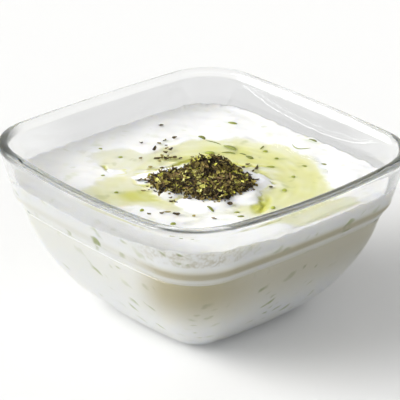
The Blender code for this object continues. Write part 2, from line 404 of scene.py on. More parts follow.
# ---------------- dip
# Strained yoghurt with grated cucumber and dill, spooned into the bowl and smoothed with the
# back of the spoon, which leaves a low mound in the middle and shallow hollows round it. It is
# dragged up the glass at the near corner, where small pockets of air stay behind it.
DIP_INTO_GLASS = 0.00012      # the dip wets the glass, so it reaches just into the wall
DIP_EDGE_Z = 0.0520
MOUND_RISE = 0.0013
DIP_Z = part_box("tzatziki")[1].z - MOUND_RISE
EDGE_CLIMB = 0.0035
DIAGONAL = math.sqrt(0.5)
SMEAR = (2.0, 21.0, 0.0030)   # across and half width in mm, and height, of the smear on the near corner
SLUMP = (-46.0, 20.0, 0.0013)  # the same for the low stretch at the left, with its depth

# Where the oil lies: lobes it ran into and islands of yoghurt that stand clear of it. Each is an
# ellipse, in mm on the bowl's diagonals: across, along, half length, half width, turn in degrees
OIL_LOBES = (
    (9.0, -2.0, 37.0, 38.0, 0.0),
    (-31.0, 14.0, 14.0, 9.5, -12.0),
    (-27.0, -15.0, 15.0, 14.5, 0.0),
    (41.0, -24.0, 17.0, 17.0, 0.0),
)
LOBE_BLEND = 1.6              # how softly the lobes run together, in mm
YOGHURT_ISLANDS = (
    (1.5, -3.5, 24.5, 12.0, 0.0),
    (13.0, -13.0, 9.5, 9.5, -20.0),
    (-7.5, -10.5, 9.5, 8.5, 0.0),
    (3.0, -22.5, 10.0, 6.5, 0.0),
    (-46.5, 0.5, 12.0, 5.0, 8.0),
    (-28.0, -34.0, 8.0, 5.0, -40.0),
    (6.0, -40.0, 9.0, 6.0, 0.0),
    (-19.0, 33.0, 5.0, 10.0, 0.0),
)
MOUND_ISLANDS = 4             # the first of them make up the mound
MOUND_SLOPE = 2.4             # how wide the mound's slope is, in mm
RIDGE_RISE = 0.55             # how far the spoon's ridge beside the mound stands up, in mm
# Where the oil is deeper or shallower than elsewhere: the same, with a depth in mm
OIL_DEPTHS = (
    (33.0, -2.0, 12.0, 22.0, 0.0, 0.16),
    (22.0, -22.0, 3.4, 8.0, -10.0, 0.60),
    (-20.0, -18.0, 10.0, 5.0, 10.0, 0.40),
    (13.0, 20.0, 17.0, 8.0, -10.0, 0.24),
    (-8.0, 15.5, 9.0, 3.5, 0.0, 0.22),
    (5.0, -40.0, 26.0, 12.0, 0.0, -0.20),
    (-33.0, 14.0, 13.0, 10.0, 0.0, -0.10),
    (44.0, -26.0, 16.0, 16.0, 0.0, -0.04),
)
# Furrows cut by the spoon's edge, where the oil stands deepest: points across and along, in mm
FURROWS = (
    ((-20.0, 5.2), (-14.0, 5.4), (-7.0, 4.4)),
    ((-13.2, 6.5), (-9.5, 11.0), (-5.0, 15.6), (-2.5, 17.4), (3.0, 17.2)),
    ((10.5, 13.2), (15.0, 10.6), (23.8, 11.3)),
    ((18.8, 5.5), (20.2, 0.2), (26.0, -3.8)),
    ((-36.5, 6.5), (-34.0, 1.6)),
    ((21.0, -16.0), (22.6, -22.0), (22.0, -28.0)),
)
FURROW_DEPTH = 1.1
FURROW_WIDTH = 0.55
OIL_DEPTH = 0.22
SWIRL_CENTRE = (4.0, -4.0)    # the spoon swept round this point, so the hollows ripple round it
OIL_SHORE = 0.03              # how far the yoghurt's level stands above the oil, in mm
MOAT_DEPTH = 0.6              # the oil gathers in a narrow moat at the mound's foot
MOAT_WIDTH = 0.50
# Sunk shreds that stain the yoghurt above them: the same, with how strong the stain is
SUNK_GREEN = (
    (1.7, 21.7, 2.6, 1.0, 0.0, 0.75), (24.6, 10.4, 2.4, 0.8, 0.0, 0.6), (22.5, 24.0, 1.4, 0.7, 0.0, 0.4),
    (9.0, 25.5, 3.6, 0.9, -45.0, 0.4), (13.7, -29.6, 1.8, 0.8, 10.0, 0.35),
    (26.0, -24.5, 1.5, 1.0, 20.0, 0.5), (23.0, -22.0, 2.4, 3.0, 0.0, 0.16), (33.0, 2.0, 1.4, 0.8, 0.0, 0.4),
    (30.0, -10.0, 1.6, 1.0, 0.0, 0.35), (-31.0, 15.0, 2.4, 1.2, 10.0, 0.25),
    (-30.0, -16.0, 2.6, 1.2, 0.0, 0.25), (-36.0, 9.0, 1.6, 0.8, 0.0, 0.2),
    (8.5, 49.0, 3.0, 1.2, -20.0, 0.3), (4.0, 46.0, 1.8, 0.8, 0.0, 0.22), (39.0, 34.0, 4.2, 1.0, -35.0, 0.4),
    (-14.0, 30.0, 2.6, 1.4, 20.0, 0.2), (-5.0, 36.0, 3.4, 1.0, -30.0, 0.2),
    (28.0, 18.0, 2.6, 0.9, 10.0, 0.3), (36.0, 12.0, 1.8, 0.8, 30.0, 0.3),
    (-24.0, -30.0, 2.2, 0.8, 40.0, 0.2), (10.0, -36.0, 3.4, 0.8, 4.0, 0.2),
    (-48.0, -3.0, 2.0, 0.9, 0.0, 0.2), (-40.0, 30.0, 1.8, 0.8, 0.0, 0.15),
    (48.0, -8.0, 2.0, 0.8, 0.0, 0.25))


def diagonals(x, y):
    """Distances across and along the diagonal the bowl is seen down, in mm."""
    return (x + y) * DIAGONAL * 1000.0, (y - x) * DIAGONAL * 1000.0


def off_diagonals(across, along):
    """x and y in metres of a point given across and along the diagonals in mm."""
    return (across - along) * DIAGONAL / 1000.0, (across + along) * DIAGONAL / 1000.0


WAVES = 14


def uneven(u, v, size, seed):
    """Smooth random field, about -1 to 1, whose lumps are size across."""
    dice = np.random.default_rng(seed)
    total = np.zeros(np.shape(u))
    for _ in range(WAVES):
        heading = dice.uniform(0.0, 2.0 * math.pi)
        pitch = 2.0 * math.pi / (size * dice.uniform(1.4, 3.0))
        phase = dice.uniform(0.0, 2.0 * math.pi)
        total += np.cos((u * math.cos(heading) + v * math.sin(heading)) * pitch + phase)
    return total / math.sqrt(WAVES * 1.1)


def ease(low, high, value):
    """0 at low, 1 at high and a soft step between them."""
    t = np.clip((value - low) / (high - low), 0.0, 1.0)
    return t * t * (3.0 - 2.0 * t)


def inside(u, v, shape):
    """1 at the middle of an ellipse, 0 on its edge, and below 0 outside it."""
    cu, cv, half_long, half_wide, turn = shape[:5]
    c, s = math.cos(math.radians(turn)), math.sin(math.radians(turn))
    du, dv = u - cu, v - cv
    return 1.0 - ((du * c + dv * s) / half_long) ** 2 - ((dv * c - du * s) / half_wide) ** 2


def depth_into(u, v, shape):
    """Rough distance in mm into an ellipse, below 0 outside it."""
    return inside(u, v, shape) * min(shape[2], shape[3]) / 2.0


def shore_distance(u, v):
    """Rough distance in mm into the oil's outline, below 0 outside it."""
    wander_u = u + 1.5 * uneven(u, v, 7.0, 11) + 0.6 * uneven(u, v, 2.2, 12)
    wander_v = v + 1.5 * uneven(u, v, 7.0, 13) + 0.6 * uneven(u, v, 2.2, 14)
    lobes = np.stack([depth_into(wander_u, wander_v, s) for s in OIL_LOBES])
    wet = LOBE_BLEND * np.log(np.exp(np.clip(lobes, -60.0, 60.0) / LOBE_BLEND).sum(0))
    for s in YOGHURT_ISLANDS:
        wet = np.minimum(wet, -depth_into(wander_u, wander_v, s))
    return wet


def oil_hollow(u, v):
    """Depth in mm of the hollows that the oil fills."""
    wet = shore_distance(u, v)
    depth = np.full(np.shape(u), OIL_DEPTH)
    for s in OIL_DEPTHS:
        depth = depth + s[5] * ease(-0.45, 0.75, inside(u, v, s))
    from_u, from_v = u - SWIRL_CENTRE[0], v - SWIRL_CENTRE[1]
    swirl = uneven(np.arctan2(from_v, from_u) * 12.0, np.hypot(from_u, from_v) * 1.3, 2.6, 21)
    depth = depth * (1.0 + 0.13 * swirl + 0.14 * uneven(u, v, 4.0, 22))
    depth = np.maximum(depth, 0.05) * ease(-0.2, 3.4, wet)
    near_mound = np.exp(-((np.hypot((u - 1.0) / 22.5, (v + 5.0) / 18.5) - 1.0) / 0.16) ** 2)
    share = ease(-0.1, 0.5, uneven(u, v, 8.0, 31)) * near_mound
    depth = depth + MOAT_DEPTH * share * np.exp(-((wet - 0.9) / MOAT_WIDTH) ** 2)
    sway_u = u + 0.35 * uneven(u, v, 1.6, 32)
    sway_v = v + 0.35 * uneven(u, v, 1.6, 33)
    furrow = np.zeros(np.shape(u))
    for chain in FURROWS:
        for (au, av), (bu, bv) in zip(chain, chain[1:]):
            run = (bu - au) ** 2 + (bv - av) ** 2
            t = np.clip(((sway_u - au) * (bu - au) + (sway_v - av) * (bv - av)) / run, 0.0, 1.0)
            off = np.hypot(sway_u - au - t * (bu - au), sway_v - av - t * (bv - av))
            furrow = np.maximum(furrow, np.exp(-(off / FURROW_WIDTH) ** 2))
    return depth + FURROW_DEPTH * furrow


def dip_height(x, y):
    """Height of the dip's surface, in metres."""
    u, v = diagonals(x, y)
    wander_u = u + 0.8 * uneven(u, v, 7.0, 11)
    wander_v = v + 0.8 * uneven(u, v, 7.0, 13)
    humps = YOGHURT_ISLANDS[:MOUND_ISLANDS]
    land = np.max([depth_into(wander_u, wander_v, s) for s in humps], axis=0)
    mound = ease(-0.2, MOUND_SLOPE, land)
    swell = 0.20 * uneven(u, v, 10.0, 41) + 0.08 * uneven(u, v, 3.2, 42)
    ridge = np.clip(inside(u, v, YOGHURT_ISLANDS[1]), 0.0, 1.0) ** 0.7
    rise = (0.12 + swell) * ease(2.0, -3.0, shore_distance(u, v)) * (1.0 - 0.7 * mound)
    rise += RIDGE_RISE * ridge * (1.0 - mound)
    return DIP_Z + MOUND_RISE * mound + (rise - oil_hollow(u, v) * (1.0 - 0.85 * mound)) / 1000.0


SIDE_POINTS = 44
CORNER_POINTS = 76
DIP_RINGS = 104
dip_loops = []
for half, inset, z in reversed(inner_wall(DIP_EDGE_Z)):
    sunk_z = z - DIP_INTO_GLASS * ease(0.0120, 0.0065, z)
    dip_loops.append(at_height(plan(half, inset - DIP_INTO_GLASS, SIDE_POINTS, CORNER_POINTS), sunk_z))
edge = dip_loops[-1][:, :2]
edge_u, edge_v = diagonals(edge[:, 0], edge[:, 1])
edge_wander = 0.00028 * uneven(edge_u, edge_v, 3.5, 51) + 0.00012 * uneven(edge_u, edge_v, 1.2, 52)
edge_wander += SMEAR[2] * np.exp(-((edge_u - SMEAR[0]) / SMEAR[1]) ** 4) * (edge_v < -20.0)
edge_wander -= SLUMP[2] * np.exp(-((edge_u - SLUMP[0]) / SLUMP[1]) ** 2) * (edge_v < 0.0)
SMEAR_LOOPS = 14              # the smear is drawn out of the last few loops below the edge
for row in range(1, SMEAR_LOOPS + 1):
    share = ease(0.0, 1.0, row / SMEAR_LOOPS)
    loop = dip_loops[row - SMEAR_LOOPS - 1]
    loop[:, 2] += edge_wander * share
    for k, z in enumerate(loop[:, 2]):
        loop[k, :2] *= (collar_half(z) - GLASS) / (collar_half(z - edge_wander[k] * share) - GLASS)
edge = dip_loops[-1][:, :2]
reach = edge[:, 0].max()
for ring in range(1, DIP_RINGS):
    scale = 1.0 - ring / DIP_RINGS
    x, y = edge[:, 0] * scale, edge[:, 1] * scale
    climb = ease(reach - EDGE_CLIMB, reach, reach * scale)
    z = dip_height(x, y) * (1.0 - climb) + (DIP_EDGE_Z + edge_wander) * climb
    dip_loops.append(np.column_stack([x, y, z]))
dip = solid("tzatziki_dip", dip_loops)

# Tints kept on the mesh: green from sunk shreds, oil soaked in at the pools' edges, air
# pockets behind the glass, and painted shade in the wall's groove and down the body's right side
points = np.array(dip_loops).reshape(-1, 3)
u, v = diagonals(points[:, 0], points[:, 1])
facing_up = np.zeros(len(points))
facing_up[-(DIP_RINGS - 1) * len(edge):] = 1.0
green = np.zeros(len(points))
for s in SUNK_GREEN:
    spread = 1.0 - inside(u, v, s)
    green = np.maximum(green, s[5] * np.exp(-1.2 * spread) * facing_up)
SHORE_YELLOW = 0.85           # the oil's edge gathers light into a thin yellow line round the heap
SHORE_LINE = (0.35, 0.42)     # how far into the oil that line lies and half its width, in mm
OIL_TINT = 1.6                # how fast the oil's yellow deepens with its depth, for each mm
GROOVE_SHADE = (0.0436, 0.0021)    # height and half width of the painted shade's line in the groove
BODY_SHADE = 0.95            # strength of the painted shade below the groove
under_oil = (DIP_Z - points[:, 2]) * 1000.0 - OIL_SHORE
soaked = ease(-0.03, 0.05, under_oil) * ease(-1.4, -0.6, shore_distance(u, v)) * facing_up
oiled = 1.0 - np.exp(-OIL_TINT * np.maximum(under_oil + 0.06, 0.0))
oiled *= ease(-1.8, 0.4, shore_distance(u, v)) * facing_up
near_heap = np.exp(-((u + 1.0) / 34.0) ** 4 - ((v + 1.0) / 19.0) ** 4)
brim = SHORE_YELLOW * np.exp(-((shore_distance(u, v) - SHORE_LINE[0]) / SHORE_LINE[1]) ** 2)
brim *= ease(-0.3, 0.3, uneven(u, v, 5.0, 71))
oiled = np.maximum(oiled, brim * near_heap * facing_up)
near_corner = np.exp(-((u - 1.0) / 17.0) ** 4) * (v < -20.0)
pocket = near_corner * ease(0.0478, 0.0490, points[:, 2])
pocket *= ease(DIP_EDGE_Z + 0.0030, DIP_EDGE_Z + 0.0020, points[:, 2]) * (1.0 - facing_up)
# painted shade is strongest on the body's right side, which lies away from the window
right_side = 0.14 + 0.86 * ease(-22.0, -8.0, u) * ease(20.0, -14.0, v - 0.5 * u)
groove = np.exp(-((points[:, 2] - GROOVE_SHADE[0]) / GROOVE_SHADE[1]) ** 2)
groove *= 0.12 + 0.88 * right_side
below = BODY_SHADE * ease(0.012, 0.036, points[:, 2]) * ease(0.0400, 0.0385, points[:, 2])
below *= right_side
below *= 1.0 - 0.36 * ease(4.0, 24.0, u)
painted_side_shade = np.clip(groove + below, 0.0, 1.0) * (1.0 - facing_up)
buried = 1.0 - 0.70 * facing_up
for tint_name, tint_value in (
        ("green", green), ("buried", buried), ("soaked", soaked),
        ("oiled", oiled), ("pocket", pocket), ("painted_side_shade", painted_side_shade)):
    keep_tint(dip, tint_name, tint_value)

CREAM = (0.940, 0.946, 0.925, 1.0)
WHITE_CURD = (0.965, 0.965, 0.955)
WET_CREAM = (0.988, 0.988, 0.975)
CUCUMBER_GREEN = (0.27, 0.36, 0.07)
OIL_YELLOW = (0.71, 0.71, 0.06)
SIDE_SHADE_OLIVE = (0.56, 0.50, 0.31)
POCKET_GREY = (0.72, 0.69, 0.60)
# the shreds: how many to a metre, their size and how few of them show, and their colour
SHREDS = ((88.0, 0.33, 0.45, (0.36, 0.42, 0.13)), (150.0, 0.32, 0.45, (0.44, 0.48, 0.24)))
STIR = 0.0040                 # how far stirring has drawn them out of line, in metres
yoghurt, cream = finish(
    "yoghurt_with_cucumber", IOR=1.36, Subsurface_Weight=1.0, Subsurface_Radius=(1.0, 0.95, 0.80),
    Subsurface_Scale=0.0010)
curd = tinted(CREAM, WHITE_CURD, grain(55.0, 3.0).outputs["Fac"])
shade = tinted(curd, WET_CREAM, kept("soaked"))
# shreds of cucumber skin and dill in the yoghurt: they lie level, so they are wide and flat
stirred = added("VectorMath", {
    0: grain(210.0, 1.0).outputs["Color"], 1: (STIR, STIR, STIR), 2: place.outputs["Object"],
}, operation="MULTIPLY_ADD").outputs["Vector"]
slanted = added("VectorRotate", {
    "Vector": stirred, "Rotation": (-0.45, -0.45, 0.70)}, rotation_type="EULER_XYZ")
flattened = added("Mapping", {"Vector": slanted.outputs["Vector"], "Scale": (0.62, 1.25, 2.3)})
for shred_scale, shred_size, shred_share, shred_colour in SHREDS:
    shreds = added("TexVoronoi", {"Scale": shred_scale, "Vector": flattened.outputs["Vector"]})
    chance = added("SeparateColor", {"Color": shreds.outputs["Color"]})
    shape = ranged(shreds.outputs["Distance"], shred_size, shred_size * 0.25)
    strength = ranged(chance.outputs["Red"], shred_share, 1.0, 0.0, 0.90)
    strength = combined("MULTIPLY", kept("buried"), strength)
    shade = tinted(shade, shred_colour, combined("MULTIPLY", shape, strength))
shade = tinted(shade, CUCUMBER_GREEN, kept("green"))
shade = tinted(shade, OIL_YELLOW, kept("oiled"), "MULTIPLY")
# painted shade: olive-beige darkening in the wall's groove and down the body's right side
shade = tinted(shade, SIDE_SHADE_OLIVE, kept("painted_side_shade"), "MULTIPLY")
bubbles = added("TexVoronoi", {"Scale": 750.0, "Vector": stirred})
mottle = combined("MULTIPLY", kept("pocket"), ranged(bubbles.outputs["Distance"], 0.15, 0.75, 0.15, 1.0))
mottle = combined("MULTIPLY", mottle, ranged(grain(300.0, 3.0).outputs["Fac"], 0.30, 0.65))
shade = tinted(shade, POCKET_GREY, mottle, "MULTIPLY")
links.new(shade, cream.inputs["Base Color"])
links.new(ranged(kept("soaked"), 0.0, 0.8, 0.36, 0.10), cream.inputs["Roughness"])
bumpy(cream, 0.10, 0.0003, grain(800.0, 3.0))
dip.data.materials.append(yoghurt)
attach(dip, "root")
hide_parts("tzatziki")

# ---------------- olive oil
# Green olive oil poured over the dip: it lies level in the hollows, thin where they are
# shallow and deep yellow-green in the narrow moat at the mound's foot.


def packed(cells):
    """The points that the cells use, and the cells counted in those points."""
    used, cells_packed = np.unique(cells, return_inverse=True)
    return used, cells_packed.reshape(cells.shape)


def slab(cells, shift):
    """Faces of a closed slab: its top cells, the same shift points on, and a wall round every edge."""
    borders = set()
    for a, b, c, d in cells.tolist():
        borders.update(((a, b), (b, c), (c, d), (d, a)))
    walls = [(b, a, a + shift, b + shift) for a, b in sorted(borders) if (b, a) not in borders]
    return cells.tolist() + (cells[:, ::-1] + shift).tolist() + walls


OIL_UNDER = 0.00010           # how far the pool's underside is sunk into the dip
OIL_RINGS = 150
OIL_REACH = (0.985, 0.24)     # the outermost and innermost ring, as a share of the dip's edge
OIL_GREEN = (0.87, 0.88, 0.26)
OIL_DENSITY = 240.0           # how fast the oil's green deepens with its depth
oil_scale = np.linspace(*OIL_REACH, OIL_RINGS)
ring_x = edge[:, 0] * oil_scale[:, None]
ring_y = edge[:, 1] * oil_scale[:, None]
u, v = diagonals(ring_x, ring_y)
level = DIP_Z - OIL_SHORE / 1000.0
bed = dip_height(ring_x, ring_y)
climb = ease(reach - EDGE_CLIMB, reach, reach * oil_scale)[:, None]
bed = bed * (1.0 - climb) + (DIP_EDGE_Z + edge_wander) * climb
keep = (level > bed - 0.00005) & (shore_distance(u, v) > -1.2)
surface = np.maximum(level, bed - 0.00006)
count = len(edge)
wet_cells = keep[:-1] | keep[1:] | np.roll(keep[:-1], -1, axis=1) | np.roll(keep[1:], -1, axis=1)
r, i = np.nonzero(wet_cells)
j = (i + 1) % count
cells = np.column_stack([r * count + i, r * count + j, (r + 1) * count + j, (r + 1) * count + i])
used, cells = packed(cells)
top_points = np.column_stack([ring_x.ravel(), ring_y.ravel(), surface.ravel()])[used]
low_points = top_points.copy()
low_points[:, 2] = np.minimum(bed.ravel()[used], top_points[:, 2]) - OIL_UNDER
oil_faces = slab(cells, len(top_points))
oil = piece("olive_oil_pools", np.vstack([top_points, low_points]), oil_faces, smooth=True)
oil.data.set_sharp_from_angle(angle=math.radians(60.0))
olive_oil, film = finish(
    "green_olive_oil", Base_Color=(1.0, 1.0, 1.0, 1.0), Roughness=0.02, IOR=1.16, Transmission_Weight=1.0)
absorbing(OIL_GREEN, OIL_DENSITY)
bumpy(film, 0.08, 0.0003, grain(240.0, 2.0))
oil.data.materials.append(olive_oil)
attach(oil, "root")

# ---------------- heap of dried herbs
# Rubbed dried oregano tipped on the mound: crumbs of brittle leaf, mostly dark olive brown,
# with pale flower scales and short stems. A core of packed crumbs fills the middle, in the
# darkest leaf colour: painted shade for the gaps between the crumbs.
HEAP_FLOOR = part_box("herb_heap")[0].z
HEAP_EDGE = 0.5
# the lumps it fell in: across, along, half sizes and height, in mm
HEAP_LUMPS = (
    (3.5, -1.2, 10.0, 9.0, 5.8),
    (9.3, -8.0, 8.8, 10.0, 3.1),
    (3.5, -14.5, 9.5, 8.5, 2.8),
    (-10.5, -9.0, 7.3, 8.6, 1.9),
    (-15.2, -6.0, 3.0, 2.4, 0.9),
    (-4.0, -6.5, 8.0, 7.5, 2.8),
)
HEAP_SPAN = (-20.5, 20.5, -24.5, 11.0)
CRUMB_CORNERS = 7
LEAF_CRUMBS, FLOWER_SCALES, STEM_BITS = 2900, 230, 150


def heap_height(u, v):
    """Height in mm of the heap above its flat underside, 0 outside its ragged outline."""
    wander_u = u + 0.8 * uneven(u, v, 2.6, 61) + 0.55 * uneven(u, v, 1.0, 64)
    wander_v = v + 1.0 * uneven(u, v, 2.6, 65) + 0.55 * uneven(u, v, 1.0, 66)
    height = np.zeros(np.shape(u))
    for cu, cv, half_u, half_v, top in HEAP_LUMPS:
        within = 1.0 - np.hypot((wander_u - cu) / half_u, (wander_v - cv) / half_v) ** 2
        lump = HEAP_EDGE + (top - HEAP_EDGE) * np.clip(within, 0.0, 1.0) ** 0.85
        height = np.maximum(height, np.where(within > 0.0, lump, 0.0))
    return height * (1.0 + 0.20 * uneven(u, v, 2.4, 62))


def turned(points, heading, lean, lean_towards):
    """Each row's points turned about Z, then leaned over by an angle towards a direction."""
    c, s = np.cos(heading)[:, None], np.sin(heading)[:, None]
    x, y, z = points[..., 0], points[..., 1], points[..., 2]
    points = np.stack([x * c - y * s, x * s + y * c, z], -1)
    axis = np.stack([-np.sin(lean_towards), np.cos(lean_towards), 0.0 * lean_towards], -1)[:, None, :]
    cl, sl = np.cos(lean)[:, None, None], np.sin(lean)[:, None, None]
    along = (points * axis).sum(-1, keepdims=True) * axis
    return along + (points - along) * cl + np.cross(np.broadcast_to(axis, points.shape), points) * sl


def crumbs(name, dice, places, lengths, slimness, curl, lean, lean_towards, heading=None,
           thickness=0.00013):
    """Shards of dry leaf: ragged curled flakes, one at each place, joined into one piece."""
    corners = CRUMB_CORNERS
    count = len(places)
    if heading is None:
        heading = dice.uniform(0.0, 2.0 * math.pi, count)
    angle = np.linspace(0.0, 2.0 * math.pi, corners, endpoint=False)
    angle = angle + dice.uniform(-0.3, 0.3, (count, corners))
    radius = dice.uniform(0.55, 1.15, (count, corners))
    half = lengths[:, None] / 2.0
    x = half * radius * np.cos(angle)
    y = half * radius * np.sin(angle) * slimness[:, None]
    x = np.concatenate([x, np.zeros((count, 1))], 1)
    y = np.concatenate([y, np.zeros((count, 1))], 1)
    bend = curl[:, None] * (x / half) ** 2 * half
    fold = dice.uniform(-0.5, 0.9, (count, 1)) * np.abs(y)
    z = bend + fold + dice.uniform(-0.10, 0.10, (count, corners + 1)) * half
    sheet = np.stack([x, y, z], -1)
    thick = np.array([0.0, 0.0, thickness])
    both = np.concatenate([sheet + thick / 2.0, sheet - thick / 2.0], 1)
    points = turned(both, heading, lean, lean_towards) + places[:, None, :]
    per = 2 * (corners + 1)
    i = np.arange(corners)
    j = (i + 1) % corners
    hub, under = corners, corners + 1
    top = np.column_stack([i, j, np.full(corners, hub)])
    low = np.column_stack([j + under, i + under, np.full(corners, hub + under)])
    rims = np.column_stack([j, i, i + under, j + under])
    base = (np.arange(count) * per)[:, None, None]
    faces = (top + base).reshape(-1, 3).tolist() + (low + base).reshape(-1, 3).tolist()
    faces += (rims + base).reshape(-1, 4).tolist()
    tint = np.repeat(dice.uniform(0.0, 1.0, count) ** 1.2, per) + dice.uniform(-0.10, 0.10, count * per)
    made = piece(name, points.reshape(-1, 3), faces)
    keep_tint(made, "shade", np.clip(tint, 0.0, 1.0))
    return made


def leaf_finish(name, ramp, roughness):
    """Leaf: colour from dark to light by each crumb's own shade, mottled, with a rough bump."""
    mat, surface = finish(name, Roughness=roughness, Specular_IOR_Level=0.3)
    mottle = grain(1400.0, 2.0)
    sockets = {0: mottle.outputs["Fac"], 1: 0.35, 2: kept("shade")}
    blend = added("Math", sockets, operation="MULTIPLY_ADD")
    spread = added("MapRange", {"Value": blend.outputs["Value"], "From Max": 1.35})
    colours = added("ValToRGB", {"Fac": spread.outputs["Result"]})
    while len(colours.color_ramp.elements) < len(ramp):
        colours.color_ramp.elements.new(1.0)
    for element, (at, colour) in zip(colours.color_ramp.elements, ramp):
        element.position = at
        element.color = (*colour, 1.0)
    links.new(colours.outputs["Color"], surface.inputs["Base Color"])
    bumpy(surface, 0.5, 0.0002, mottle)
    return mat


dried_leaf = leaf_finish("dried_oregano", (
    (0.00, (0.012, 0.008, 0.005)),
    (0.32, (0.042, 0.028, 0.013)),
    (0.56, (0.118, 0.084, 0.028)),
    (0.80, (0.335, 0.270, 0.070)),
    (1.00, (0.700, 0.610, 0.200))), 0.72)
flower_scale = leaf_finish("oregano_flower_scale", (
    (0.0, (0.34, 0.34, 0.03)),
    (0.5, (0.58, 0.56, 0.09)),
    (1.0, (0.82, 0.80, 0.38))), 0.65)
dry_stem = leaf_finish("oregano_stem", (
    (0.0, (0.10, 0.062, 0.03)),
    (0.6, (0.28, 0.18, 0.07)),
    (1.0, (0.46, 0.34, 0.14))), 0.7)

CORE_INSET = 1.3              # how far under the crumbs' skin the core lies, in mm
CORE_STEP = 0.55
CORE_RELIEF = 0.30
CORE_SUNK = 0.00025           # how far its underside is sunk into the mound
core_u = np.arange(HEAP_SPAN[0], HEAP_SPAN[1], CORE_STEP)
core_v = np.arange(HEAP_SPAN[2], HEAP_SPAN[3], CORE_STEP)
grid_u, grid_v = np.meshgrid(core_u, core_v, indexing="ij")
core_top = heap_height(grid_u, grid_v) - CORE_INSET + CORE_RELIEF * uneven(grid_u, grid_v, 0.9, 63)
filled = core_top > 0.1
whole = filled[:-1, :-1] & filled[1:, :-1] & filled[:-1, 1:] & filled[1:, 1:]
columns = len(core_v)
# no two cells meet at a corner only
whole[:-1, :-1] &= ~(whole[1:, 1:] & ~whole[1:, :-1] & ~whole[:-1, 1:])
whole[1:, :-1] &= ~(whole[:-1, 1:] & ~whole[:-1, :-1] & ~whole[1:, 1:])
cell_r, cell_c = np.nonzero(whole)
corner = cell_r * columns + cell_c
cells = np.column_stack([corner, corner + columns, corner + columns + 1, corner + 1])
used, cells = packed(cells)
x, y = off_diagonals(grid_u.ravel()[used], grid_v.ravel()[used])
core_points = np.column_stack([x, y, HEAP_FLOOR + core_top.ravel()[used] / 1000.0])
sole_points = np.column_stack([x, y, np.full(len(x), HEAP_FLOOR - CORE_SUNK)])
core_faces = slab(cells, len(core_points))
heap_core = piece("oregano_heap_core", np.vstack([core_points, sole_points]), core_faces)
# the core takes the darkest leaf colour as painted shade for the gaps between the crumbs
keep_tint(heap_core, "shade", [])
heap_core.data.materials.append(dried_leaf)
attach(heap_core, "root")
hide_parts("herb_heap")


def heap_places(dice, count, sink):
    """Random places on the heap's skin, some of them sunk in it, and which way it slopes there."""
    u = dice.uniform(HEAP_SPAN[0], HEAP_SPAN[1], count * 4)
    v = dice.uniform(HEAP_SPAN[2], HEAP_SPAN[3], count * 4)
    height = heap_height(u, v)
    on_heap = np.nonzero(height > 0.0)[0][:count]
    u, v, height = u[on_heap], v[on_heap], height[on_heap]
    slope_u = heap_height(u + 0.6, v) - heap_height(u - 0.6, v)
    slope_v = heap_height(u, v + 0.6) - heap_height(u, v - 0.6)
    downhill = np.arctan2(-slope_v, -slope_u) + math.pi / 4.0
    z = np.maximum(height - dice.uniform(0.0, 1.0, len(u)) ** 1.5 * sink, 0.1)
    x, y = off_diagonals(u, v)
    return np.column_stack([x, y, HEAP_FLOOR + z / 1000.0]), downhill


dice = np.random.default_rng(3)
places, downhill = heap_places(dice, LEAF_CRUMBS, 1.6)
n = len(places)
leaf_crumbs = crumbs(
    "oregano_leaf_crumbs", dice, places, 0.0008 + 0.0023 * dice.uniform(0.0, 1.0, n) ** 1.4,
    dice.uniform(0.28, 0.75, n), dice.uniform(-0.1, 0.8, n),
    np.abs(dice.normal(0.60, 0.55, n)), downhill + dice.normal(0.0, 0.9, n))
leaf_crumbs.data.materials.append(dried_leaf)
places, downhill = heap_places(dice, FLOWER_SCALES, 0.15)
n = len(places)
flower_crumbs = crumbs(
    "oregano_flower_scales", dice, places, dice.uniform(0.0009, 0.0024, n),
    dice.uniform(0.45, 0.8, n), dice.uniform(0.2, 0.9, n),
    np.abs(dice.normal(0.2, 0.4, n)), downhill + dice.normal(0.0, 1.0, n))
flower_crumbs.data.materials.append(flower_scale)
places, downhill = heap_places(dice, STEM_BITS, 0.3)
n = len(places)
stem_bits = crumbs(
    "oregano_stem_bits", dice, places, dice.uniform(0.0018, 0.0042, n),
    dice.uniform(0.10, 0.18, n), dice.uniform(0.0, 0.15, n),
    np.abs(dice.normal(0.2, 0.3, n)), downhill + dice.normal(0.0, 1.2, n), thickness=0.0003)
stem_bits.data.materials.append(dry_stem)
for heap_layer in (leaf_crumbs, flower_crumbs, stem_bits):
    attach(heap_layer, "root")

